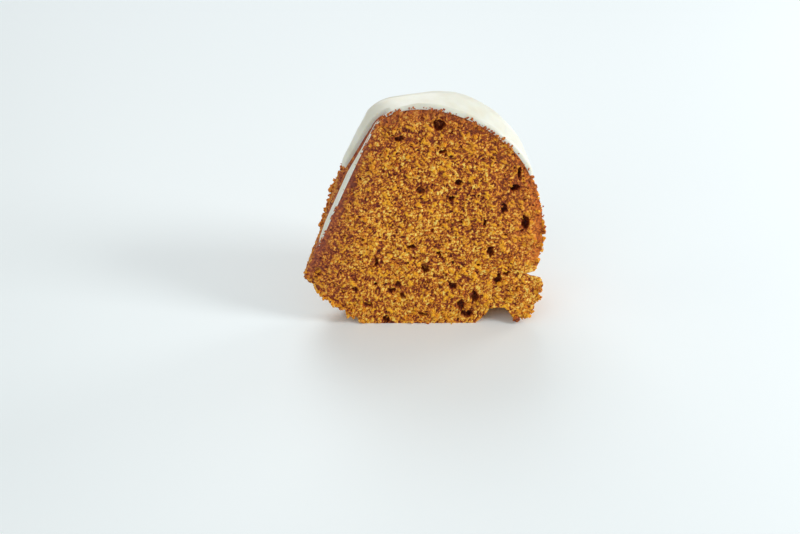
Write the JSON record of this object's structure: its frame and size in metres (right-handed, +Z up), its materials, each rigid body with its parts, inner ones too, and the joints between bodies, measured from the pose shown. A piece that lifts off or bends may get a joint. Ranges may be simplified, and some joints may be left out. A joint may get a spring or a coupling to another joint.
{
  "type": "slice of iced ring pound cake",
  "caption": "Wedge slice of a ring-baked pound cake standing on its base, with coarse open crumb, browned fluted crust and poured pale icing.",
  "frame": {"origin": "centre of the bounding box in X and Y, at the surface that the slice stands on", "axes": "+Z up; -Y out of the front cut; +X from the hole of the ring to the outer wall, the longest extent; Y is the shortest extent"},
  "size_m": [0.0976, 0.0423, 0.0924],
  "materials": {
    "cake_crumb": "matte open crumb, golden to red-brown, with a browned crust",
    "icing": "soft satin sugar icing, warm white"
  },
  "bodies": {
    "root": {"cake": "cake_crumb", "icing": "icing"}
  },
  "joints": []
}
